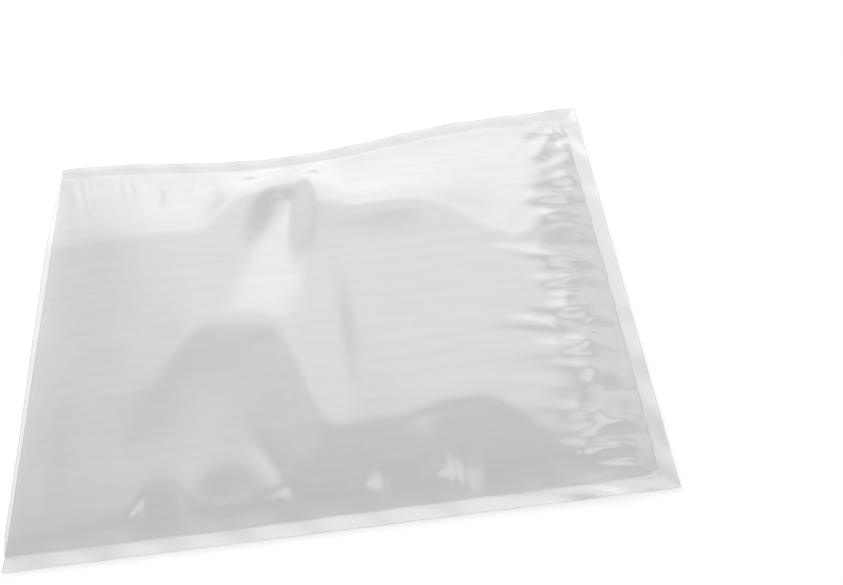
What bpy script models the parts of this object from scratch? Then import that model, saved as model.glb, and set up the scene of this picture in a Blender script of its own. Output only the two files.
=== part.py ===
"""Clear vacuum sealer bag: one open pouch of two heat-sealed film panels.

The pouch lies flat on its back panel with a little air in it. Its open mouth is at -X, its bottom
seal at +X and its side seals at -Y, the near side, and +Y, the far side. The film is made as the
pouch's outer form less the air between its panels, so both panels have the film's real thickness.
Metres, +Z up, origin on the surface that the pouch lies on, under the middle of its outline.
"""
import math

import bmesh
import bpy
import numpy as np

# Cut size of the pouch, width of its seals and thickness of its film
LENGTH = 0.330
WIDTH = 0.254
SIDE_SEAL = 0.008
BOTTOM_SEAL = 0.008
FILM = 0.00009

# Height of the air under the front panel, and how far it comes down to the open mouth
PUFF = 0.0105
MOUTH_FALL = 0.0045
MOUTH_REACH = 0.022

# Width of the slope by which the front panel comes up from each seal, and its rounding at the top
NEAR_SLOPE = 0.010
NEAR_SLOPE_LONG = 0.050
FAR_SLOPE = 0.055
FAR_SLOPE_AT_DENT = 0.025
FAR_SLOPE_AT_BOTTOM = 0.100
FAR_WIDENS_FROM = 0.30
FAR_WIDENS_TO = 0.80
BOTTOM_SLOPE = 0.024
SIDE_ROUNDING = 0.0045
BOTTOM_ROUNDING = 0.0025

# Stretch of the near side with the long slope: its ends along the pouch and how gently they start
LONG_SLOPE_FROM = -0.12
LONG_SLOPE_TO = 0.62
LONG_SLOPE_BLUR = 0.024

# Short stretches where the near slope starts further in: place along, half length, added width
NEAR_ARCHES = {
    "near arch by the mouth": (-0.533, 0.0125, 0.015),
    "near arch before the fold": (-0.315, 0.0110, 0.012),
}

# Fold across the front panel: its crest runs along the near side and bends back once. The film runs
# down in front of it, beyond a slanting edge, and falls a little behind it.
CREST_ACROSS = -0.55
CREST_ACROSS_BY_MOUTH = -0.33
CREST_STEP_FROM = -0.36
CREST_STEP_TO = -0.04
CREST_BEND_ACROSS = 0.025
CREST_BEND_ALONG = -0.29
CREST_BEND_REACH = 0.040
CREST_ROUNDING = 0.003
FRONT_DROP = 0.0068
FRONT_REACH = 0.045
FRONT_EDGE_SHARE = 0.30
FRONT_EDGE_ALONG = -0.545
FRONT_EDGE_ACROSS = -0.38
FRONT_EDGE_TURN = -50
FRONT_EDGE_BLUR = 0.034
LIP = 0.0016
LIP_REACH = 0.030

# Dent that runs from behind the crest to the far seal and gets narrower on the way. The far slope
# starts further out beside it.
DENT = 0.0060
DENT_ALONG = -0.175
DENT_WIDTH = 0.0225
DENT_NARROWS = 0.14
DENT_MIDDLE = 0.39
DENT_STARTS = -0.17
DENT_DEEPENS = 0.62
DENT_ENDS = 0.64
DENT_STOPS = 0.86
DENT_END_SHARE = 0.65
DENT_BESIDE = 0.034

# The mouth's end leans up towards the far seal
LEAN = 0.022
LEAN_ENDS = -0.45
LEAN_BLUR = 0.035

# How far the folds draw the far side seal in, where, and over what reach
FAR_DRAW = 0.012
FAR_DRAW_ALONG = -0.16
FAR_DRAW_REACH = 0.135
DRAW_DEPTH = 0.085

# The back panel lies flat, and the seals lift its edges and make them wave
EDGE_LIFT = 0.0011
LIFT_REACH = 0.018
EDGE_WAVE = 0.0004
EDGE_PITCH = 0.034

# Gathers that run in from the bottom seal
GATHER_PITCH = 0.0115
BOTTOM_GATHER = 0.0015
BOTTOM_FADE = 0.018

# The panels stay at least this far apart for each metre in from a seal
LEAST_OPEN = 0.05

# Single folds of the front panel: place along and across as shares of half the length and width,
# reach along and across the fold, its turn from +X in degrees, and its height
FOLDS = {
    "ridge along the far slope": (0.22, 0.53, 0.042, 0.024, 0, 0.0030),
    "crease beside the dent": (0.048, -0.04, 0.032, 0.006, 95, -0.0010),
    "low near corner": (0.78, -0.82, 0.026, 0.022, 0, -0.0015),
    "crease inside the mouth": (-0.91, -0.59, 0.030, 0.006, 90, -0.0012),
    "hollow behind the mouth": (-0.78, -0.08, 0.080, 0.024, 90, -0.0014),
}

# Gathers at the side seals, in the same terms
SIDE_GATHERS = {
    "near pucker one": (0.06, -0.86, 0.007, 0.011, 0, 0.0024),
    "near pucker two": (0.19, -0.90, 0.006, 0.009, 0, -0.0012),
    "near pucker three": (0.27, -0.85, 0.008, 0.011, 0, 0.0026),
    "near pucker four": (0.37, -0.90, 0.006, 0.008, 0, 0.0020),
    "near pucker five": (0.45, -0.88, 0.007, 0.009, 0, -0.0010),
    "far pucker one": (-0.61, 0.76, 0.005, 0.014, 0, -0.0012),
    "far pucker two": (-0.52, 0.78, 0.005, 0.011, 0, -0.0010),
}
GATHER_START = 0.006

# Mesh: cells along and across, how much closer they lie at the seals, and the finer strips there
ALONG_CELL_COUNT = 40
ACROSS_CELL_COUNT = 30
SEAL_CELL_COUNT = 1
CROWD_ALONG = 0.35
CROWD_ACROSS = 0.50
BOTTOM_STRIP = 0.026
NEAR_STRIP = 0.022
BOTTOM_CUT_COUNT = 2
NEAR_CUT_COUNT = 1

# Faces that meet at less than this angle, in radians, are made one: the back panel's flat middle
FLAT_ANGLE = 0.0002

# The air runs this far out of the mouth, so that the cut leaves the mouth open
MOUTH_RUN = 0.006

FILM_COLOUR = (0.86, 0.87, 0.88, 1.0)
FILM_ALPHA = 0.35
FILM_ROUGHNESS = 0.12


def along(share):
    return share * LENGTH / 2


def across(share):
    return share * WIDTH / 2


def soft_ramp(t, rounding):
    """0 below nothing and t above it, with the corner rounded."""
    return rounding * np.logaddexp(0, t / rounding)


def ease(t, start, stop):
    """0 before start and 1 after stop, with a smooth change between."""
    share = np.clip((t - start) / (stop - start), 0, 1)
    return share * share * (3 - 2 * share)


def insets(x, y):
    """Distances in from the inner edges of the near, far and bottom seals, at least nothing."""
    near = np.maximum(y + WIDTH / 2 - SIDE_SEAL, 0)
    far = np.maximum(WIDTH / 2 - SIDE_SEAL - y, 0)
    bottom = np.maximum(LENGTH / 2 - BOTTOM_SEAL - x, 0)
    return near, far, bottom


def seal_slope(inset, width, rounding):
    """0 at a seal, rising evenly over the width to 1, rounded at the top."""
    return 1 - soft_ramp(width - inset, rounding) / soft_ramp(width, rounding)


def fold(x, y, place_along, place_across, long, wide, turn, height):
    """One soft fold or hollow."""
    dx = x - along(place_along)
    dy = y - across(place_across)
    c, s = math.cos(math.radians(turn)), math.sin(math.radians(turn))
    return height * np.exp(-(((dx * c + dy * s) / long) ** 2) - ((dy * c - dx * s) / wide) ** 2)


def arch(x, place_along, half_length, added):
    """Width that a short stretch adds to a slope."""
    return added * np.exp(-(((x - along(place_along)) / half_length) ** 4))


def seal_slopes(x, y):
    """0 at the three seals and 1 where the front panel lies free of them."""
    near, far, bottom = insets(x, y)
    blur = LONG_SLOPE_BLUR
    long_from, long_to = along(LONG_SLOPE_FROM), along(LONG_SLOPE_TO)
    long_part = ease(x, long_from - blur, long_from + blur)
    long_part = long_part - ease(x, long_to - blur / 2, long_to + blur / 2)
    near_width = NEAR_SLOPE + (NEAR_SLOPE_LONG - NEAR_SLOPE) * long_part
    near_width = near_width + sum(arch(x, *terms) for terms in NEAR_ARCHES.values())
    at_dent = np.exp(-(((x - along(DENT_ALONG)) / DENT_BESIDE) ** 6))
    to_bottom = ease(x, along(FAR_WIDENS_FROM), along(FAR_WIDENS_TO))
    far_width = FAR_SLOPE + (FAR_SLOPE_AT_BOTTOM - FAR_SLOPE) * to_bottom
    far_width = far_width + (FAR_SLOPE_AT_DENT - FAR_SLOPE) * at_dent
    slopes = seal_slope(near, near_width, SIDE_ROUNDING)
    slopes = slopes * seal_slope(far, far_width, SIDE_ROUNDING)
    return slopes * seal_slope(bottom, BOTTOM_SLOPE, BOTTOM_ROUNDING)


def crest(x):
    """Place across the pouch of the front fold's crest."""
    step = across(CREST_ACROSS) - across(CREST_ACROSS_BY_MOUTH)
    base = across(CREST_ACROSS_BY_MOUTH) + step * ease(x, along(CREST_STEP_FROM), along(CREST_STEP_TO))
    bend = np.exp(-(((x - along(CREST_BEND_ALONG)) / CREST_BEND_REACH) ** 4))
    return base + (across(CREST_BEND_ACROSS) - base) * bend


def front_fold(x, y):
    """The front panel's fall in front of the crest, and its lip behind it."""
    behind = y - crest(x)
    turn = math.radians(FRONT_EDGE_TURN)
    dx, dy = x - along(FRONT_EDGE_ALONG), y - across(FRONT_EDGE_ACROSS)
    beyond_edge = dy * math.cos(turn) - dx * math.sin(turn)
    held = 1 - FRONT_EDGE_SHARE + FRONT_EDGE_SHARE * ease(beyond_edge, -FRONT_EDGE_BLUR, FRONT_EDGE_BLUR)
    held = held * ease(x, along(-1.0), along(-0.42)) * (1 - ease(x, along(0.12), along(0.42)))
    fall = FRONT_DROP * (1 - np.exp(-soft_ramp(-behind, CREST_ROUNDING) / FRONT_REACH))
    lip = LIP * np.exp(-soft_ramp(behind, CREST_ROUNDING) / LIP_REACH)
    return lip * ease(x, along(-0.62), along(-0.45)) - fall * held


def dent(x, y):
    shift = DENT_NARROWS * (y - across(DENT_MIDDLE))
    place = (x - along(DENT_ALONG) - shift) / (DENT_WIDTH - shift)
    deep = ease(y, across(DENT_STARTS), across(DENT_DEEPENS))
    deep = deep * (1 - DENT_END_SHARE * ease(y, across(DENT_ENDS), across(DENT_STOPS)))
    return -DENT * deep * np.exp(-(place**2) ** 1.4)


def gathers(x, y):
    """Small folds that the seals pull into the film."""
    near, far, bottom = insets(x, y)
    side = sum(fold(x, y, *terms) for terms in SIDE_GATHERS.values())
    side = side * np.minimum(near / GATHER_START, 1) * np.minimum(far / GATHER_START, 1)
    count = y / GATHER_PITCH + 0.35 * np.sin(y / (2.1 * GATHER_PITCH)) + 0.2 * np.sin(x / 0.009)
    fade = 2 * bottom / BOTTOM_FADE * np.exp(1 - 2 * bottom / BOTTOM_FADE)
    end = BOTTOM_GATHER * np.sin(math.pi * count) ** 2 * fade
    return side + end * np.minimum(near / BOTTOM_FADE, 1) * np.minimum(far / BOTTOM_FADE, 1)


def air_gap(x, y):
    """Height of the air between the panels."""
    height = PUFF - MOUTH_FALL * np.exp(-(((x + LENGTH / 2) / MOUTH_REACH) ** 2))
    mouth_end = 1 - ease(x, along(LEAN_ENDS) - LEAN_BLUR, along(LEAN_ENDS) + LEAN_BLUR)
    height = height + LEAN * y * mouth_end + front_fold(x, y) + dent(x, y)
    height = height + sum(fold(x, y, *terms) for terms in FOLDS.values())
    near, far, bottom = insets(x, y)
    least = LEAST_OPEN * np.minimum(np.minimum(near, far), bottom)
    return np.maximum(height * seal_slopes(x, y) + gathers(x, y), least)


def back_panel(x, y):
    """Underside of the back panel, which is the surface that the pouch lies on."""
    inset = np.minimum(np.minimum(y + WIDTH / 2, WIDTH / 2 - y), LENGTH / 2 - x)
    lifted = np.maximum(1 - inset / LIFT_REACH, 0) ** 2
    return lifted * (EDGE_LIFT + EDGE_WAVE * np.sin(2 * math.pi * (x + y) / EDGE_PITCH))


def front_panel(x, y):
    """Outer side of the front panel."""
    return back_panel(x, y) + 2 * FILM + air_gap(x, y)


def drawn_in(x, y):
    """Where the folds leave a point across the pouch."""
    window = np.clip((x - along(FAR_DRAW_ALONG)) / FAR_DRAW_REACH, -1, 1)
    draw = FAR_DRAW * np.cos(window * math.pi / 2) ** 2
    return y - draw * ease(y, WIDTH / 2 - DRAW_DEPTH, WIDTH / 2)


def clear_scene():
    for thing in list(bpy.data.objects):
        bpy.data.objects.remove(thing, do_unlink=True)


def collection(name):
    group = bpy.data.collections.new(name)
    bpy.context.scene.collection.children.link(group)
    return group


def film_material():
    material = bpy.data.materials.new("clear_film")
    material.use_nodes = True
    shader = material.node_tree.nodes["Principled BSDF"]
    shader.inputs["Base Color"].default_value = FILM_COLOUR
    shader.inputs["Alpha"].default_value = FILM_ALPHA
    shader.inputs["Roughness"].default_value = FILM_ROUGHNESS
    shader.inputs["Metallic"].default_value = 0.0
    return material


def crowded(start, stop, cells, crowd):
    """Mesh lines from start to stop, closer together towards both ends."""
    shares = [i / cells for i in range(cells + 1)]
    eased = [s - crowd * math.sin(2 * math.pi * s) / (2 * math.pi) for s in shares]
    return [start + (stop - start) * s for s in eased]


def band(start, stop):
    """Mesh lines across a seal, without the first."""
    return [start + (stop - start) * (i + 1) / SEAL_CELL_COUNT for i in range(SEAL_CELL_COUNT)]


def mesh_lines():
    """Mesh lines along and across the whole pouch, with one on each seal's inner edge."""
    bottom, side = LENGTH / 2 - BOTTOM_SEAL, WIDTH / 2 - SIDE_SEAL
    lines_along = crowded(-LENGTH / 2, bottom, ALONG_CELL_COUNT, CROWD_ALONG) + band(bottom, LENGTH / 2)
    far_band = band(side, WIDTH / 2)
    near_band = [-y for y in reversed(far_band)]
    return lines_along, near_band + crowded(-side, side, ACROSS_CELL_COUNT, CROWD_ACROSS) + far_band


def refine(bm, is_in_strip, direction, cuts):
    """Cut the edges of a strip that run in one direction into shorter ones."""
    edges = [
        edge
        for edge in bm.edges
        if abs((edge.verts[0].co - edge.verts[1].co).normalized()[direction]) > 0.99
        and all(is_in_strip(vert.co) for vert in edge.verts)
    ]
    bmesh.ops.subdivide_edges(bm, edges=edges, cuts=cuts, use_grid_fill=True)


def flat_film():
    """One panel laid flat: a sheet of triangles, finer where the film is gathered."""
    lines_along, lines_across = mesh_lines()
    last_along, last_across = len(lines_along) - 1, len(lines_across) - 1
    bm = bmesh.new()
    bmesh.ops.create_grid(bm, x_segments=last_along, y_segments=last_across, size=1)
    for vert in bm.verts:
        column = round((vert.co.x + 1) / 2 * last_along)
        row = round((vert.co.y + 1) / 2 * last_across)
        vert.co = (lines_along[column], lines_across[row], 0)
    bottom_strip = LENGTH / 2 - BOTTOM_SEAL - BOTTOM_STRIP
    near_strip = -WIDTH / 2 + SIDE_SEAL + NEAR_STRIP
    refine(bm, lambda place: place.x > bottom_strip, 1, BOTTOM_CUT_COUNT)
    refine(bm, lambda place: place.y < near_strip, 0, NEAR_CUT_COUNT)
    bmesh.ops.triangulate(bm, faces=bm.faces[:], quad_method="FIXED", ngon_method="BEAUTY")
    return bm


def is_sealed(place):
    """Whether a place in the sheet is in a seal or on its inner edge."""
    return min(insets(place.x, place.y)) < FILM / 100


def between_panels(bm):
    """Cut the sheet back to the air between the panels, and run it out past the mouth."""
    sealed = [face for face in bm.faces if all(is_sealed(vert.co) for vert in face.verts)]
    bmesh.ops.delete(bm, geom=sealed, context="FACES")
    mouth = -LENGTH / 2 + FILM
    lip = [edge for edge in bm.edges if all(vert.co.x < mouth for vert in edge.verts)]
    run = bmesh.ops.extrude_edge_only(bm, edges=lip)["geom"]
    for vert in [item for item in run if isinstance(item, bmesh.types.BMVert)]:
        vert.co.x -= MOUTH_RUN


def solid(name, bm, roof, floor):
    """A closed solid between two surfaces over the sheet."""
    grown = bmesh.ops.extrude_face_region(bm, geom=bm.faces[:])["geom"]
    under = {item for item in grown if isinstance(item, bmesh.types.BMVert)}
    verts = bm.verts[:]
    x = np.maximum([vert.co.x for vert in verts], -LENGTH / 2)
    y = np.array([vert.co.y for vert in verts])
    lower = np.array([vert in under for vert in verts])
    heights = np.where(lower, floor(x, y), roof(x, y))
    for vert, place_y, height in zip(verts, drawn_in(x, y), heights):
        vert.co.y = place_y
        vert.co.z = height
    bmesh.ops.remove_doubles(bm, verts=bm.verts[:], dist=FILM / 100)
    bmesh.ops.recalc_face_normals(bm, faces=bm.faces[:])
    bmesh.ops.dissolve_limit(bm, angle_limit=FLAT_ANGLE, verts=bm.verts[:], edges=bm.edges[:])
    mesh = bpy.data.meshes.new(name)
    bm.to_mesh(mesh)
    bm.free()
    return bpy.data.objects.new(name, mesh)


def outer_form():
    return solid("pouch", flat_film(), front_panel, back_panel)


def air():
    sheet = flat_film()
    between_panels(sheet)
    return solid("air", sheet, lambda x, y: front_panel(x, y) - FILM, lambda x, y: back_panel(x, y) + FILM)


def cut(target, cutter):
    boolean = target.modifiers.new(cutter.name, "BOOLEAN")
    boolean.object = cutter
    boolean.operation = "DIFFERENCE"
    boolean.solver = "EXACT"


def main():
    clear_scene()
    pouch = outer_form()
    pouch.data.materials.append(film_material())
    pouch.data.shade_smooth()
    collection("vacuum_sealer_bag").objects.link(pouch)
    space = air()
    space.hide_render = True
    space.display_type = "WIRE"
    collection("cutters").objects.link(space)
    cut(pouch, space)


main()
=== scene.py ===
"""Looks of a clear vacuum sealer bag: blown film, fused seals, floor, studio light and camera.

The CAD model gives the frame. Its pouch is replaced by a finer film: one smooth sheet for each
panel and a bead along the cut edges. The film has the form of the CAD model, with some of its folds
shaped further and with gathers and ripples that are too fine for the CAD model.
Metres, +Z up: the open mouth is at -X, the bottom seal at +X, the near side at -Y. Places along and
across the pouch are given from its middle, as shares of half its length and half its width.
"""
import math

import bmesh
import bpy
import numpy as np
from mathutils import Matrix, Vector


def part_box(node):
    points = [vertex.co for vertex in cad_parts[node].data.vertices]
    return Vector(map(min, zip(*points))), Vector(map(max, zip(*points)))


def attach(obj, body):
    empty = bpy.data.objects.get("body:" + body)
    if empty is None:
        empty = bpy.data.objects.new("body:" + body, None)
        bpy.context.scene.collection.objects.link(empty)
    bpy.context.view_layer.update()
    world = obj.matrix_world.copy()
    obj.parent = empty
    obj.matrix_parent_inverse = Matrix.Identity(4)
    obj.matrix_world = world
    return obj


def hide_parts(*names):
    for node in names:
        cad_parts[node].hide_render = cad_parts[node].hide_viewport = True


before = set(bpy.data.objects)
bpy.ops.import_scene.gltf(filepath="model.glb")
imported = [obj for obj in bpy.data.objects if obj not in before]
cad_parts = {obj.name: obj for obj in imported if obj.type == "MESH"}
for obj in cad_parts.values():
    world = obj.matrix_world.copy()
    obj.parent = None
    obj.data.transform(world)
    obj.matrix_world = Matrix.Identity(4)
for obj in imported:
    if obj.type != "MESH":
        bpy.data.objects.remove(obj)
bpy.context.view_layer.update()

low_corner, high_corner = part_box("pouch")

# Cut size of the pouch from the frame, width of its seals and thickness of its film
LENGTH = high_corner.x - low_corner.x
WIDTH = high_corner.y - low_corner.y
SIDE_SEAL = 0.008
BOTTOM_SEAL = 0.008
FILM = 0.00009

# Height of the air under the front panel, and how far it comes down to the open mouth
PUFF = 0.0105
MOUTH_FALL = 0.0049
MOUTH_REACH = 0.035

# Width of the slope by which the front panel comes up from each seal, and its rounding at the top
NEAR_SLOPE = 0.006
NEAR_SLOPE_LONG = 0.047
FAR_SLOPE = 0.055
FAR_SLOPE_AT_DENT = 0.025
FAR_SLOPE_AT_BOTTOM = 0.100
FAR_WIDENS_FROM = 0.30
FAR_WIDENS_TO = 0.80
BOTTOM_SLOPE = 0.026
BOTTOM_UNEVEN = 0.28
BOTTOM_UNEVEN_PITCH = 0.01995
NEAR_ROUNDING = 0.0022
FAR_ROUNDING = 0.0045
BOTTOM_ROUNDING = 0.0045

# Stretch of the near side with the long slope: its ends along the pouch and how gently they start
LONG_SLOPE_FROM = -0.12
LONG_SLOPE_TO = 0.60
LONG_SLOPE_BLUR = 0.024

# Stretches where the near slope is wider or narrower: place along, half length, added width
NEAR_ARCHES = {
    "near arch by the mouth": (-0.533, 0.0125, 0.0165),
    "dip of the crest": (0.070, 0.034, -0.011),
}

# Power of the fall on both sides of forms with a flat top: 2 is a plain bell, more has steeper flanks
FLAT_TOP = 4
FLATTER_TOP = 6

# Fold across the front panel: its crest runs along the near side and bends back once. The film runs
# down in front of it, beyond a slanting edge, and falls a little behind it.
CREST_ACROSS = -0.62
CREST_ACROSS_BY_MOUTH = -0.33
CREST_STEP_FROM = -0.36
CREST_STEP_TO = -0.04
CREST_BEND_ACROSS = -0.055
CREST_BEND_ALONG = -0.31
CREST_BEND_REACH = 0.037
CREST_ROUNDING = 0.003
FRONT_DROP = 0.0068
FRONT_REACH = 0.045
FRONT_EDGE_SHARE = 0.30
FRONT_EDGE_ALONG = -0.545
FRONT_EDGE_ACROSS = -0.38
FRONT_EDGE_TURN = -50
FRONT_EDGE_BLUR = 0.034
LIP = 0.0016
LIP_REACH = 0.030
FALL_STARTS_FROM = -1.0
FALL_STARTS_TO = -0.42
FALL_STOPS_FROM = 0.12
FALL_STOPS_TO = 0.42
LIP_STARTS_FROM = -0.62
LIP_STARTS_TO = -0.45

# Dent that runs from behind the crest to the far seal and gets narrower on the way. Its flanks are a
# little steeper than a plain bell's, which would be 1. The far slope starts further out beside it.
DENT = 0.0084
DENT_ALONG = -0.155
DENT_WIDTH_LEFT = 0.0210
DENT_WIDTH_RIGHT = 0.0160
DENT_NARROWS = 0.14
DENT_MIDDLE = 0.39
DENT_STARTS = -0.14
DENT_DEEPENS = 0.60
DENT_ENDS = 0.64
DENT_STOPS = 0.86
DENT_END_SHARE = 0.65
DENT_FLANK = 1.15
DENT_BESIDE = 0.038

# The mouth's end leans up towards the far seal
LEAN = 0.022
LEAN_ENDS = -0.45
LEAN_BLUR = 0.035

# How far the folds draw the far side seal in, where, and over what reach
FAR_DRAW = 0.012
FAR_DRAW_ALONG = -0.16
FAR_DRAW_REACH = 0.135
DRAW_DEPTH = 0.085

# The back panel lies flat, and the seals lift its edges and make them wave
EDGE_LIFT = 0.0011
LIFT_REACH = 0.018
EDGE_WAVE = 0.0003
EDGE_PITCH = 0.034

# Gathers that run in from the bottom seal: their pitch and height, how they drift and bend off even
# spacing, how unevenly high they are, and how they get lower towards the far side
GATHER_PITCH = 0.0105
BOTTOM_GATHER = 0.0016
GATHER_DRIFT = 0.45
GATHER_DRIFT_REACH = 0.02205
GATHER_BEND = 0.3
GATHER_BEND_REACH = 0.009
GATHER_UNEVEN = 0.35
GATHER_UNEVEN_PITCH = 0.04935
GATHER_FAR_SHARE = 0.50
GATHER_LOWERS_FROM = -0.4
GATHER_LOWERS_TO = 0.5
BOTTOM_FADE = 0.018

# Slower waves that make a wave's swings uneven: amount, slowness and start of each
SLOWER_WAVES = ((1.4, 2.7, 0.0), (0.9, 4.3, 1.0))

# The panels stay at least this far apart for each metre in from a seal
LEAST_OPEN = 0.05

# Single folds of the front panel: place along and across as shares of half the length and width,
# reach along and across the fold, its turn from +X in degrees, and its height
FOLDS = {
    "ridge along the far slope": (0.22, 0.53, 0.042, 0.024, 0, 0.0042),
    "crease beside the dent": (0.030, -0.17, 0.046, 0.0075, 93, -0.0018),
    "swell behind that crease": (0.135, -0.17, 0.046, 0.014, 93, 0.0015),
    "low near corner": (0.78, -0.82, 0.026, 0.022, 0, -0.0015),
    "crease inside the mouth": (-0.90, -0.58, 0.030, 0.007, 90, -0.0007),
    "ridge along the near side": (-0.58, -0.90, 0.046, 0.028, 0, 0.0024),
    "crease along the slanting edge": (-0.18, -0.75, 0.022, 0.005, -60, -0.0008),
    "hollow behind the mouth": (-0.78, -0.08, 0.080, 0.024, 90, -0.0014),
}

# Gathers at the side seals, in the same terms
SIDE_GATHERS = {
    "near hollow before the fold": (-0.340, -0.83, 0.0110, 0.011, 0, -0.0020),
    "near pucker one": (0.07, -0.86, 0.008, 0.009, 0, 0.0024),
    "near pucker two": (0.19, -0.90, 0.005, 0.010, 0, -0.0005),
    "near pucker three": (0.29, -0.85, 0.009, 0.009, 0, 0.0026),
    "near pucker four": (0.37, -0.92, 0.005, 0.009, 8, 0.0007),
    "near pucker five": (0.45, -0.86, 0.006, 0.011, -10, -0.0004),
    "far pucker one": (-0.61, 0.76, 0.005, 0.014, 0, -0.0012),
    "far pucker two": (-0.52, 0.78, 0.005, 0.011, 0, -0.0010),
}
GATHER_START = 0.006

# Small gathers that only the finer film shows. At a seal: pitch, height and reach in from the seal.
# Then how uneven they are and over how many pitches, how far they slant, and where across the pouch
# the long ones fade in from the far side.
NEAR_RUFFLE = (0.0072, 0.00022, 0.006)
FAR_RUFFLE = (0.0085, 0.00030, 0.009)
BOTTOM_RUFFLE = (0.0061, 0.00040, 0.010)
BOTTOM_LONG_RUFFLE = (0.0170, 0.00110, 0.018)
RUFFLE_UNEVEN = 0.45
RUFFLE_UNEVEN_PITCHES = 5.3
FAR_RUFFLE_SLANT = 0.3
BOTTOM_RUFFLE_SLANT = 0.25
LONG_RUFFLE_FROM = 0.9
LONG_RUFFLE_TO = -0.6

# Small crumples by the bottom seal: pitch along, pitch across, height and reach in from the seal, and
# how far their two waves slant
CRUMPLES = (0.0360, 0.0230, 0.00070, 0.011)
CRUMPLE_SLANTS = (0.5, -0.3)

# Faint ripples of the film: pitch along, pitch across and height, how far their two waves slant, and
# how far in from the seals they are full
RIPPLES = ((0.046, 0.150, 0.00007), (0.120, 0.033, 0.00005), (0.024, 0.080, 0.00002))
RIPPLE_SLANTS = (0.2, -0.1)
RIPPLE_START = 0.02

# Mesh cells of the two panels
FRONT_CELLS_ALONG = 270
FRONT_CELLS_ACROSS = 208
BACK_CELLS_ALONG = 120
BACK_CELLS_ACROSS = 92
CELLS_IN_SEAL = 6

# Bead along the cut edge of the film, drawn coarser than the film so that it shows
EDGE_BEAD = 0.00016
EDGE_STEP = 0.002

# Blown film of nylon on polyethylene, 0.09 mm thick: share mirrored face on, tint and haze. It looks
# clear and glossy: the floor shows through it, and the room's light and dark lie on it as grey shapes.
FILM_MIRROR = 0.105
FILM_TINT = "#EEEEEF"
FILM_HAZE = 0.03

# Two such films fused by heat into one of twice the thickness: an even band, which looks paler than
# the rest because it has one sheen where the pouch has two
FUSED_MIRROR = 0.13
FUSED_TINT = "#E6E7E8"
FUSED_HAZE = 0.04

# Cut edge of the film: a grey tint and haze paint it as a fine grey line, painted shade that stands in
# for the light the film's thin edge bends away
EDGE_LINE_SHADE_TINT = "#DFE1E2"
EDGE_LINE_SHADE_HAZE = 0.35

# What the haze of all three scatters back
HAZE_COLOUR = "#F2F3F4"

# Die lines of the blown film: their pitch, length and depth, how fine their detail is, which part of
# the noise lies between and on them, and the roughness there. Real ones are a few thousandths of a
# millimetre deep, and these are drawn deeper so that they show.
DIE_LINE_PITCH = 0.0045
DIE_LINE_LENGTH = 0.090
DIE_LINE_DEPTH = 0.000012
DIE_LINE_DETAIL = 3.0
DIE_LINE_FINENESS = 0.6
DIE_LINES_LOW = 0.3
DIE_LINES_HIGH = 0.7
ROUGHNESS_BETWEEN = 0.09
ROUGHNESS_ON_LINES = 0.14
HAZE_SPREAD = 0.6

# How steeply the mirror gets stronger where the film is seen at a low angle
GRAZING_POWER = 5.0

# Floor of white paper: matt, so the pouch leaves only a soft pale shadow on it
FLOOR_SIZE = 6.0
FLOOR_GAP = 0.0003
FLOOR_COLOUR = "#E7E7E7"
FLOOR_GLOW = 0.175

# Room light: a broad soft panel behind the pouch, a low glow around, and a dim ceiling. The panel's
# light ends upwards in two steps, a share of it at the lower one. Its ends and the ends of the glow
# are in degrees. Only a share of the glow is left in front of the pouch.
PANEL = 2.4
PANEL_TURN = -10
PANEL_TILT = 0.10
PANEL_EDGE = 0.45
PANEL_EDGE_FROM = 44
PANEL_EDGE_TO = 51
PANEL_TOP_FROM = 58
PANEL_TOP_TO = 76
PANEL_LEFT_FROM = 2
PANEL_LEFT_TO = 32
PANEL_RIGHT_FROM = 20
PANEL_RIGHT_TO = 38
ROOM_GLOW = 0.9
ROOM_GLOW_FROM = 25
ROOM_GLOW_TO = 50
FRONT_SHARE = 0.25
FRONT_FROM = -0.4
FRONT_TO = 0.2
CEILING = 0.40

# Small soft lights in the room: direction, reach of the full light and of its edge in degrees, and
# strength
SOFT_LIGHTS = (
    ((0.42, -0.05, 0.90), 4, 22, 1.4),
    ((-0.57, 0.21, 0.79), 6, 20, 0.3),
)

# Overhead soft box
KEY_PLACE = (-1.7, -0.4, 1.9)
KEY_SIZE = (2.4, 2.0)
KEY_WATTS = 15.0

# Image width, focal length in its pixels, and how the camera sees the pouch
IMAGE_WIDTH = 843
FOCAL_PIXELS = 850.8
SENSOR_MM = 36.0
CAMERA_AZIMUTH = -1.095
CAMERA_ELEVATION = 57.74
CAMERA_ROLL = -6.137
CAMERA_DISTANCE = 0.4818
CAMERA_TARGET = (0.05258, 0.00285, 0.0)
CAMERA_NEAR_CLIP = 0.01


def along(share):
    """Place along the pouch, given as a share of half its length."""
    return share * LENGTH / 2


def across(share):
    """Place across the pouch, given as a share of half its width."""
    return share * WIDTH / 2


def soft_ramp(t, rounding):
    """0 below nothing and t above it, with the corner rounded."""
    return rounding * np.logaddexp(0, t / rounding)


def ease(t, start, stop):
    """0 before start and 1 after stop, with a smooth change between."""
    share = np.clip((t - start) / (stop - start), 0, 1)
    return share * share * (3 - 2 * share)


def ease_along(x, start, stop):
    """The same between two shares of half the length."""
    return ease(x, along(start), along(stop))


def ease_across(y, start, stop):
    """The same between two shares of half the width."""
    return ease(y, across(start), across(stop))


def waver(t, pitch):
    """A wave of about this pitch whose swings come unevenly."""
    turn = 2 * math.pi * t / pitch
    shift = sum(amount * np.sin(turn / slowness + start) for amount, slowness, start in SLOWER_WAVES)
    return np.sin(turn + shift)


def insets(x, y):
    """Distances in from the inner edges of the near, far and bottom seals, at least nothing."""
    near = np.maximum(y + WIDTH / 2 - SIDE_SEAL, 0)
    far = np.maximum(WIDTH / 2 - SIDE_SEAL - y, 0)
    bottom = np.maximum(LENGTH / 2 - BOTTOM_SEAL - x, 0)
    return near, far, bottom


def inset_from_all(x, y):
    """Distance in from the nearest seal."""
    return np.min(insets(x, y), axis=0)


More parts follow.
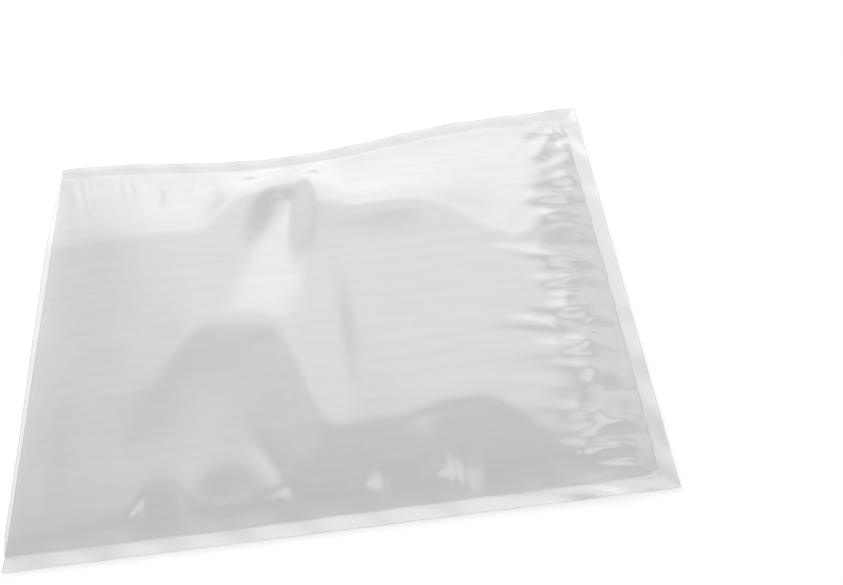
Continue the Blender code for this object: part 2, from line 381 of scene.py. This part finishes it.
def seal_slope(inset, width, rounding):
    """0 at a seal, rising evenly over the width to 1, rounded at the top."""
    return 1 - soft_ramp(width - inset, rounding) / soft_ramp(width, rounding)


def fold(x, y, place_along, place_across, long, wide, turn, height):
    """One soft fold or hollow."""
    dx = x - along(place_along)
    dy = y - across(place_across)
    c, s = math.cos(math.radians(turn)), math.sin(math.radians(turn))
    return height * np.exp(-(((dx * c + dy * s) / long) ** 2) - ((dy * c - dx * s) / wide) ** 2)


def arch(x, place_along, half_length, added):
    """Width that a short stretch adds to a slope."""
    return added * np.exp(-(((x - along(place_along)) / half_length) ** FLAT_TOP))


def seal_slopes(x, y):
    """0 at the three seals and 1 where the front panel lies free of them."""
    near, far, bottom = insets(x, y)
    blur = LONG_SLOPE_BLUR
    long_from, long_to = along(LONG_SLOPE_FROM), along(LONG_SLOPE_TO)
    long_part = ease(x, long_from - blur, long_from + blur)
    long_part = long_part - ease(x, long_to - blur, long_to + blur)
    near_width = NEAR_SLOPE + (NEAR_SLOPE_LONG - NEAR_SLOPE) * long_part
    near_width = near_width + sum(arch(x, *terms) for terms in NEAR_ARCHES.values())
    at_dent = np.exp(-(((x - along(DENT_ALONG)) / DENT_BESIDE) ** FLATTER_TOP))
    to_bottom = ease_along(x, FAR_WIDENS_FROM, FAR_WIDENS_TO)
    far_width = FAR_SLOPE + (FAR_SLOPE_AT_BOTTOM - FAR_SLOPE) * to_bottom
    far_width = far_width + (FAR_SLOPE_AT_DENT - FAR_SLOPE) * at_dent
    bottom_width = BOTTOM_SLOPE * (1 + BOTTOM_UNEVEN * waver(y, BOTTOM_UNEVEN_PITCH))
    slopes = seal_slope(near, near_width, NEAR_ROUNDING)
    slopes = slopes * seal_slope(far, far_width, FAR_ROUNDING)
    return slopes * seal_slope(bottom, bottom_width, BOTTOM_ROUNDING)


def crest(x):
    """Place across the pouch of the front fold's crest."""
    step = across(CREST_ACROSS) - across(CREST_ACROSS_BY_MOUTH)
    base = across(CREST_ACROSS_BY_MOUTH) + step * ease_along(x, CREST_STEP_FROM, CREST_STEP_TO)
    bend = np.exp(-(((x - along(CREST_BEND_ALONG)) / CREST_BEND_REACH) ** FLAT_TOP))
    return base + (across(CREST_BEND_ACROSS) - base) * bend


def front_fold(x, y):
    """The front panel's fall in front of the crest, and its lip behind it."""
    behind = y - crest(x)
    turn = math.radians(FRONT_EDGE_TURN)
    dx, dy = x - along(FRONT_EDGE_ALONG), y - across(FRONT_EDGE_ACROSS)
    beyond_edge = dy * math.cos(turn) - dx * math.sin(turn)
    held = 1 - FRONT_EDGE_SHARE + FRONT_EDGE_SHARE * ease(beyond_edge, -FRONT_EDGE_BLUR, FRONT_EDGE_BLUR)
    held = held * ease_along(x, FALL_STARTS_FROM, FALL_STARTS_TO)
    held = held * (1 - ease_along(x, FALL_STOPS_FROM, FALL_STOPS_TO))
    fall = FRONT_DROP * (1 - np.exp(-soft_ramp(-behind, CREST_ROUNDING) / FRONT_REACH))
    lip = LIP * np.exp(-soft_ramp(behind, CREST_ROUNDING) / LIP_REACH)
    return lip * ease_along(x, LIP_STARTS_FROM, LIP_STARTS_TO) - fall * held


def dent(x, y):
    """The dent, whose left flank is wider than its right one."""
    shift = DENT_NARROWS * (y - across(DENT_MIDDLE))
    offset = x - along(DENT_ALONG) - shift
    place = offset / (np.where(offset < 0, DENT_WIDTH_LEFT, DENT_WIDTH_RIGHT) - shift)
    deep = ease_across(y, DENT_STARTS, DENT_DEEPENS)
    deep = deep * (1 - DENT_END_SHARE * ease_across(y, DENT_ENDS, DENT_STOPS))
    return -DENT * deep * np.exp(-(place**2) ** DENT_FLANK)


def gathers(x, y):
    """Small folds that the seals pull into the film."""
    near, far, bottom = insets(x, y)
    side = sum(fold(x, y, *terms) for terms in SIDE_GATHERS.values())
    side = side * (1 - np.exp(-((np.minimum(near, far) / GATHER_START) ** 2)))
    count = y / GATHER_PITCH + GATHER_DRIFT * np.sin(y / GATHER_DRIFT_REACH)
    count = count + GATHER_BEND * np.sin(x / GATHER_BEND_REACH)
    fade = 2 * bottom / BOTTOM_FADE * np.exp(1 - 2 * bottom / BOTTOM_FADE)
    end = BOTTOM_GATHER * np.sin(math.pi * count) ** 2 * fade
    end = end * (1 - (1 - GATHER_FAR_SHARE) * ease_across(y, GATHER_LOWERS_FROM, GATHER_LOWERS_TO))
    end = end * (1 - GATHER_UNEVEN + GATHER_UNEVEN * waver(y, GATHER_UNEVEN_PITCH))
    return side + end * np.minimum(near / BOTTOM_FADE, 1) * np.minimum(far / BOTTOM_FADE, 1)


def air_gap(x, y):
    """Height of the air between the panels."""
    height = PUFF - MOUTH_FALL * np.exp(-(((x + LENGTH / 2) / MOUTH_REACH) ** 2))
    mouth_end = 1 - ease(x, along(LEAN_ENDS) - LEAN_BLUR, along(LEAN_ENDS) + LEAN_BLUR)
    height = height + LEAN * y * mouth_end + front_fold(x, y) + dent(x, y)
    height = height + sum(fold(x, y, *terms) for terms in FOLDS.values())
    return np.maximum(height * seal_slopes(x, y) + gathers(x, y), LEAST_OPEN * inset_from_all(x, y))


def back_panel(x, y):
    """Underside of the back panel, which is the surface that the pouch lies on."""
    inset = np.minimum(np.minimum(y + WIDTH / 2, WIDTH / 2 - y), LENGTH / 2 - x)
    lifted = np.maximum(1 - inset / LIFT_REACH, 0) ** 2
    return lifted * (EDGE_LIFT + EDGE_WAVE * np.sin(2 * math.pi * (x + y) / EDGE_PITCH))


def front_panel(x, y):
    """Outer side of the front panel."""
    return back_panel(x, y) + 2 * FILM + air_gap(x, y)


def drawn_in(x, y):
    """Where the folds leave a point across the pouch."""
    window = np.clip((x - along(FAR_DRAW_ALONG)) / FAR_DRAW_REACH, -1, 1)
    draw = FAR_DRAW * np.cos(window * math.pi / 2) ** 2
    return y - draw * ease(y, WIDTH / 2 - DRAW_DEPTH, WIDTH / 2)


def ruffle(t, inset, pitch, height, reach):
    """Small uneven gathers next to a seal, nothing at the seal itself."""
    lift = (1 + waver(t, pitch)) / 2
    uneven = 1 - RUFFLE_UNEVEN + RUFFLE_UNEVEN * waver(t, RUFFLE_UNEVEN_PITCHES * pitch)
    return height * lift * uneven * (inset / reach) * np.exp(1 - inset / reach)


def crossed_waves(x, y, slants, pitch_along, pitch_across):
    """Two slanting waves across each other, which leave small rises and hollows."""
    slant_along, slant_across = slants
    return waver(x + slant_along * y, pitch_along) * waver(y + slant_across * x, pitch_across)


def fine_folds(x, y):
    """Gathers, crumples and ripples that the CAD model leaves out."""
    near, far, bottom = insets(x, y)
    slanted = y + BOTTOM_RUFFLE_SLANT * (x - LENGTH / 2)
    lift = ruffle(x, near, *NEAR_RUFFLE) + ruffle(x + FAR_RUFFLE_SLANT * y, far, *FAR_RUFFLE)
    lift = lift + ruffle(slanted, bottom, *BOTTOM_RUFFLE)
    long_ruffle = ruffle(slanted, bottom, *BOTTOM_LONG_RUFFLE)
    lift = lift + long_ruffle * ease_across(y, LONG_RUFFLE_FROM, LONG_RUFFLE_TO)
    pitch_along, pitch_across, height, reach = CRUMPLES
    crumples = crossed_waves(x, y, CRUMPLE_SLANTS, pitch_along, pitch_across)
    crumples = crumples * np.minimum(near / reach, 1) * np.minimum(far / reach, 1)
    lift = lift + height * crumples * (bottom / reach) * np.exp(1 - bottom / reach)
    free = ease(inset_from_all(x, y), 0, RIPPLE_START)
    for pitch_along, pitch_across, height in RIPPLES:
        lift = lift + height * free * crossed_waves(x, y, RIPPLE_SLANTS, pitch_along, pitch_across)
    return lift


def fine_front_panel(x, y):
    """Outer side of the front panel with its finest folds."""
    return front_panel(x, y) + fine_folds(x, y)


def lines(start, stop, cells):
    """Places of the mesh lines that part a stretch into this many cells."""
    return np.linspace(start, stop, cells + 1)


def sheet(name, lines_along, lines_across, height, materials):
    """A smooth sheet of film over mesh lines of the flat panel, fused where its seals are."""
    last_along, last_across = len(lines_along) - 1, len(lines_across) - 1
    bm = bmesh.new()
    bmesh.ops.create_grid(bm, x_segments=last_along, y_segments=last_across, size=1)
    mesh = bpy.data.meshes.new(name)
    bm.to_mesh(mesh)
    bm.free()
    place = np.empty((len(mesh.vertices), 3))
    mesh.vertices.foreach_get("co", place.ravel())
    x = lines_along[np.rint((place[:, 0] + 1) / 2 * last_along).astype(int)]
    y = lines_across[np.rint((place[:, 1] + 1) / 2 * last_across).astype(int)]
    mesh.vertices.foreach_set("co", np.stack([x, y, 0 * x], axis=1).ravel())
    for material in materials:
        mesh.materials.append(material)
    middle = np.empty((len(mesh.polygons), 3))
    mesh.polygons.foreach_get("center", middle.ravel())
    fused = inset_from_all(middle[:, 0], middle[:, 1]) <= 0
    mesh.polygons.foreach_set("material_index", fused.astype(np.int32))
    mesh.vertices.foreach_set("co", np.stack([x, drawn_in(x, y), height(x, y)], axis=1).ravel())
    mesh.shade_smooth()
    mesh.update()
    piece = bpy.data.objects.new(name, mesh)
    bpy.context.scene.collection.objects.link(piece)
    return piece


def front_sheet(materials):
    """The front panel with its seals, where mesh lines follow the inner edges of the seals."""
    bottom, side = LENGTH / 2 - BOTTOM_SEAL, WIDTH / 2 - SIDE_SEAL
    lines_along = np.concatenate(
        [lines(-LENGTH / 2, bottom, FRONT_CELLS_ALONG), lines(bottom, LENGTH / 2, CELLS_IN_SEAL)[1:]]
    )
    far_band = lines(side, WIDTH / 2, CELLS_IN_SEAL)[1:]
    lines_across = np.concatenate([-far_band[::-1], lines(-side, side, FRONT_CELLS_ACROSS), far_band])
    return sheet("front_panel", lines_along, lines_across, fine_front_panel, materials)


def back_sheet(materials):
    """The back panel between the seals, where it lies free of the front one."""
    bottom, side = LENGTH / 2 - BOTTOM_SEAL, WIDTH / 2 - SIDE_SEAL
    lines_along = lines(-LENGTH / 2, bottom, BACK_CELLS_ALONG)
    lines_across = lines(-side, side, BACK_CELLS_ACROSS)
    return sheet("back_panel", lines_along, lines_across, lambda x, y: back_panel(x, y) + FILM, materials)


def edge_bead(name, x, y, height, material):
    """A thin bead along a cut edge of the film, through points of the flat panel."""
    curve = bpy.data.curves.new(name, "CURVE")
    curve.dimensions = "3D"
    curve.bevel_depth = EDGE_BEAD
    curve.bevel_resolution = 1
    curve.use_fill_caps = True
    spline = curve.splines.new("POLY")
    spline.points.add(len(x) - 1)
    place = np.stack([x, drawn_in(x, y), height(x, y), np.ones(len(x))], axis=1)
    spline.points.foreach_set("co", place.ravel())
    curve.materials.append(material)
    piece = bpy.data.objects.new(name, curve)
    bpy.context.scene.collection.objects.link(piece)
    return piece


def cut_edges(material):
    """Beads along the three sealed sides and along both films of the mouth."""
    end, side = LENGTH / 2, WIDTH / 2
    along_side = np.arange(-end, end, EDGE_STEP)
    across_end = np.arange(-side, side, EDGE_STEP)
    x = np.concatenate([along_side, np.full(len(across_end), end), along_side[::-1]])
    y = np.concatenate([np.full(len(along_side), -side), across_end, np.full(len(along_side), side)])
    mouth = np.full(len(across_end), -end)

    def back_edge(x, y):
        return back_panel(x, y) + EDGE_BEAD

    return [
        edge_bead("sealed_edge", x, y, fine_front_panel, material),
        edge_bead("mouth_edge_front", mouth, across_end, fine_front_panel, material),
        edge_bead("mouth_edge_back", mouth, across_end, back_edge, material),
    ]


def add_node(tree, kind, inputs=(), **settings):
    """Add a node with its settings; inputs gives each socket a value or another node's output."""
    made = tree.nodes.new(kind)
    for name, value in settings.items():
        setattr(made, name, value)
    for socket, value in dict(inputs).items():
        if isinstance(value, bpy.types.NodeSocket):
            tree.links.new(value, made.inputs[socket])
        else:
            made.inputs[socket].default_value = value
    return made


def linear(hex_colour):
    """An sRGB hex colour as linear red, green and blue, with an alpha of 1."""
    parts = [int(hex_colour[i : i + 2], 16) / 255 for i in (1, 3, 5)]
    return tuple(p / 12.92 if p <= 0.04045 else ((p + 0.055) / 1.055) ** 2.4 for p in parts) + (1.0,)


def new_material(name):
    material = bpy.data.materials.new(name)
    material.use_nodes = True
    material.node_tree.nodes.clear()
    return material, material.node_tree


def clear_film(name, tint, mirrors, haze):
    """Clear film: what is behind shows through a faint tint, and both its surfaces mirror the room.

    Faint die lines run along the film, a little hazier and rougher than the film between them.
    """
    material, tree = new_material(name)
    place = add_node(tree, "ShaderNodeTexCoord").outputs["Object"]
    scale = (1 / DIE_LINE_LENGTH, 1 / DIE_LINE_PITCH, 1 / DIE_LINE_PITCH)
    along_film = add_node(tree, "ShaderNodeMapping", {"Vector": place, "Scale": scale}).outputs[0]
    streaks = {"Vector": along_film, "Scale": 1.0, "Detail": DIE_LINE_DETAIL}
    streaks["Roughness"] = DIE_LINE_FINENESS
    die_lines = add_node(tree, "ShaderNodeTexNoise", streaks).outputs[0]
    low_to_high = {"Value": die_lines, "From Min": DIE_LINES_LOW, "From Max": DIE_LINES_HIGH}
    hazes = {**low_to_high, "To Min": haze * (1 - HAZE_SPREAD), "To Max": haze * (1 + HAZE_SPREAD)}
    haziness = add_node(tree, "ShaderNodeMapRange", hazes).outputs[0]
    rough = {**low_to_high, "To Min": ROUGHNESS_BETWEEN, "To Max": ROUGHNESS_ON_LINES}
    roughness = add_node(tree, "ShaderNodeMapRange", rough).outputs[0]
    relief = {"Strength": 1.0, "Distance": DIE_LINE_DEPTH, "Height": die_lines}
    normal = add_node(tree, "ShaderNodeBump", relief).outputs[0]

    clear = add_node(tree, "ShaderNodeBsdfTransparent", {"Color": linear(tint)})
    hazy = add_node(tree, "ShaderNodeBsdfDiffuse", {"Color": linear(HAZE_COLOUR)})
    body = add_node(tree, "ShaderNodeMixShader", {0: haziness, 1: clear.outputs[0], 2: hazy.outputs[0]})
    shine = {"Color": (1, 1, 1, 1), "Roughness": roughness, "Normal": normal}
    gloss = add_node(tree, "ShaderNodeBsdfGlossy", shine)
    facing = add_node(tree, "ShaderNodeLayerWeight", {"Blend": 0.5})
    steep = {0: facing.outputs["Facing"], 1: GRAZING_POWER}
    grazing = add_node(tree, "ShaderNodeMath", steep, operation="POWER")
    share = {0: grazing.outputs[0], 1: 1 - mirrors, 2: mirrors}
    mirror = add_node(tree, "ShaderNodeMath", share, operation="MULTIPLY_ADD")
    layers = {0: mirror.outputs[0], 1: body.outputs[0], 2: gloss.outputs[0]}
    film = add_node(tree, "ShaderNodeMixShader", layers)
    add_node(tree, "ShaderNodeOutputMaterial", {"Surface": film.outputs[0]})
    return material


def matt_paper():
    """White paper floor: matt, with a little glow where it is seen so that it reads as white."""
    material, tree = new_material("white_paper_matt")
    ray = add_node(tree, "ShaderNodeLightPath")
    seen = ray.outputs["Is Camera Ray"]
    for kind in ("Is Glossy Ray", "Is Transmission Ray"):
        seen = add_node(tree, "ShaderNodeMath", {0: seen, 1: ray.outputs[kind]}, operation="MAXIMUM")
        seen = seen.outputs[0]
    glow = add_node(tree, "ShaderNodeMath", {0: seen, 1: FLOOR_GLOW}, operation="MULTIPLY")
    matt = add_node(tree, "ShaderNodeBsdfDiffuse", {"Color": linear(FLOOR_COLOUR)})
    light = add_node(tree, "ShaderNodeEmission", {"Color": (1, 1, 1, 1), "Strength": glow.outputs[0]})
    paper = add_node(tree, "ShaderNodeAddShader", {0: matt.outputs[0], 1: light.outputs[0]})
    add_node(tree, "ShaderNodeOutputMaterial", {"Surface": paper.outputs[0]})
    return material


def floor():
    """A floor of white paper just under the pouch."""
    bm = bmesh.new()
    bmesh.ops.create_grid(bm, x_segments=1, y_segments=1, size=FLOOR_SIZE / 2)
    mesh = bpy.data.meshes.new("floor")
    bm.to_mesh(mesh)
    bm.free()
    mesh.materials.append(matt_paper())
    plane = bpy.data.objects.new("floor", mesh)
    plane.location.z = low_corner.z - FLOOR_GAP
    bpy.context.scene.collection.objects.link(plane)


def room_light():
    """World light: a soft panel behind the pouch, brighter low down, and a dimmer room around it."""
    world = bpy.data.worlds.new("studio")
    bpy.context.scene.world = world
    world.use_nodes = True
    tree = world.node_tree
    tree.nodes.clear()

    towards = add_node(tree, "ShaderNodeTexCoord").outputs["Generated"]
    x, y, z = add_node(tree, "ShaderNodeSeparateXYZ", {0: towards}).outputs
    degree = math.radians(1)
    height = add_node(tree, "ShaderNodeMath", {0: z}, operation="ARCSINE").outputs[0]
    side = add_node(tree, "ShaderNodeMath", {0: x}, operation="ARCSINE").outputs[0]
    turned = {0: side, 1: PANEL_TURN * degree}
    side = add_node(tree, "ShaderNodeMath", turned, operation="SUBTRACT").outputs[0]
    behind = add_node(tree, "ShaderNodeMath", {0: z, 1: y}, operation="ARCTAN2").outputs[0]
    tilted = {0: side, 1: -PANEL_TILT, 2: behind}
    behind = add_node(tree, "ShaderNodeMath", tilted, operation="MULTIPLY_ADD").outputs[0]

    # Soft edges of the light: where each is measured, its two ends, and the light before and after it
    edges = {
        "lower part": (behind, PANEL_EDGE_FROM * degree, PANEL_EDGE_TO * degree, PANEL_EDGE, 0),
        "upper part": (behind, PANEL_TOP_FROM * degree, PANEL_TOP_TO * degree, 1 - PANEL_EDGE, 0),
        "left end": (side, -PANEL_LEFT_TO * degree, -PANEL_LEFT_FROM * degree, 0, 1),
        "right end": (side, PANEL_RIGHT_FROM * degree, PANEL_RIGHT_TO * degree, PANEL, 0),
        "low glow": (height, ROOM_GLOW_FROM * degree, ROOM_GLOW_TO * degree, ROOM_GLOW, 0),
        "front": (y, FRONT_FROM, FRONT_TO, FRONT_SHARE, 1),
    }
    light = {}
    for name, (value, start, stop, before, after) in edges.items():
        ends = {"Value": value, "From Min": start, "From Max": stop, "To Min": before, "To Max": after}
        edge = add_node(tree, "ShaderNodeMapRange", ends, interpolation_type="SMOOTHSTEP")
        light[name] = edge.outputs[0]
    joined = {
        "parts": ("ADD", "lower part", "upper part"),
        "ends": ("MULTIPLY", "left end", "right end"),
        "panel": ("MULTIPLY", "parts", "ends"),
        "glow": ("MULTIPLY", "low glow", "front"),
        "room": ("MAXIMUM", "panel", "glow"),
    }
    for name, (operation, first, second) in joined.items():
        both = {0: light[first], 1: light[second]}
        light[name] = add_node(tree, "ShaderNodeMath", both, operation=operation).outputs[0]
    lit = {0: light["room"], 1: CEILING}
    strength = add_node(tree, "ShaderNodeMath", lit, operation="ADD").outputs[0]
    for direction, reach, fades_to, full in SOFT_LIGHTS:
        turned = {0: towards, 1: Vector(direction).normalized()}
        near_it = add_node(tree, "ShaderNodeVectorMath", turned, operation="DOT_PRODUCT").outputs["Value"]
        ends = {"Value": near_it, "From Min": math.cos(fades_to * degree)}
        ends |= {"From Max": math.cos(reach * degree), "To Min": 0, "To Max": full}
        spot = add_node(tree, "ShaderNodeMapRange", ends, interpolation_type="SMOOTHSTEP").outputs[0]
        strength = add_node(tree, "ShaderNodeMath", {0: strength, 1: spot}, operation="ADD").outputs[0]
    ray = add_node(tree, "ShaderNodeLightPath")
    lit = add_node(tree, "ShaderNodeBackground", {"Color": (1, 1, 1, 1), "Strength": strength})
    white = add_node(tree, "ShaderNodeBackground", {"Color": (1, 1, 1, 1), "Strength": 1.0})
    lit_or_white = {0: ray.outputs["Is Camera Ray"], 1: lit.outputs[0], 2: white.outputs[0]}
    seen = add_node(tree, "ShaderNodeMixShader", lit_or_white)
    add_node(tree, "ShaderNodeOutputWorld", {"Surface": seen.outputs[0]})


def key_light():
    """Soft overhead light for the floor and the shadow; the film mirrors only the room."""
    lamp = bpy.data.lights.new("overhead_soft_box", "AREA")
    lamp.shape = "RECTANGLE"
    lamp.size, lamp.size_y = KEY_SIZE
    lamp.energy = KEY_WATTS
    key = bpy.data.objects.new("overhead_soft_box", lamp)
    key.location = KEY_PLACE
    key.visible_glossy = False
    key.rotation_euler = (-Vector(KEY_PLACE)).to_track_quat("-Z", "Y").to_euler()
    bpy.context.scene.collection.objects.link(key)


def camera():
    """The camera where the photograph was taken from, fitted to the pouch's corners."""
    azimuth, elevation, roll = (math.radians(a) for a in (CAMERA_AZIMUTH, CAMERA_ELEVATION, CAMERA_ROLL))
    level = Vector((math.sin(azimuth), -math.cos(azimuth), 0))
    back = level * math.cos(elevation) + Vector((0, 0, math.sin(elevation)))
    right = Vector((math.cos(azimuth), math.sin(azimuth), 0))
    up = back.cross(right)
    turned_right = right * math.cos(roll) + up * math.sin(roll)
    turned_up = up * math.cos(roll) - right * math.sin(roll)
    data = bpy.data.cameras.new("camera")
    data.sensor_width = SENSOR_MM
    data.lens = SENSOR_MM * FOCAL_PIXELS / IMAGE_WIDTH
    data.clip_start = CAMERA_NEAR_CLIP
    seen_from = bpy.data.objects.new("camera", data)
    bpy.context.scene.collection.objects.link(seen_from)
    turn = Matrix((turned_right, turned_up, back)).transposed().to_4x4()
    seen_from.matrix_world = Matrix.Translation(Vector(CAMERA_TARGET) + back * CAMERA_DISTANCE) @ turn
    bpy.context.scene.camera = seen_from


def pouch():
    """The film of the pouch, which stands for the CAD model's solid."""
    film = clear_film("blown_film_clear", FILM_TINT, FILM_MIRROR, FILM_HAZE)
    fused = clear_film("heat_fused_film", FUSED_TINT, FUSED_MIRROR, FUSED_HAZE)
    # The cut edge's grey tint and haze are painted shade for the light bent at the film's edge
    cut = clear_film("cut_film_edge_painted_shade", EDGE_LINE_SHADE_TINT, FILM_MIRROR, EDGE_LINE_SHADE_HAZE)
    front = front_sheet([film, fused])
    for piece in [front, back_sheet([film]), *cut_edges(cut)]:
        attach(piece, "root")
    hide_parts("pouch")


bpy.context.scene.view_settings.view_transform = "Standard"
pouch()
floor()
room_light()
key_light()
camera()
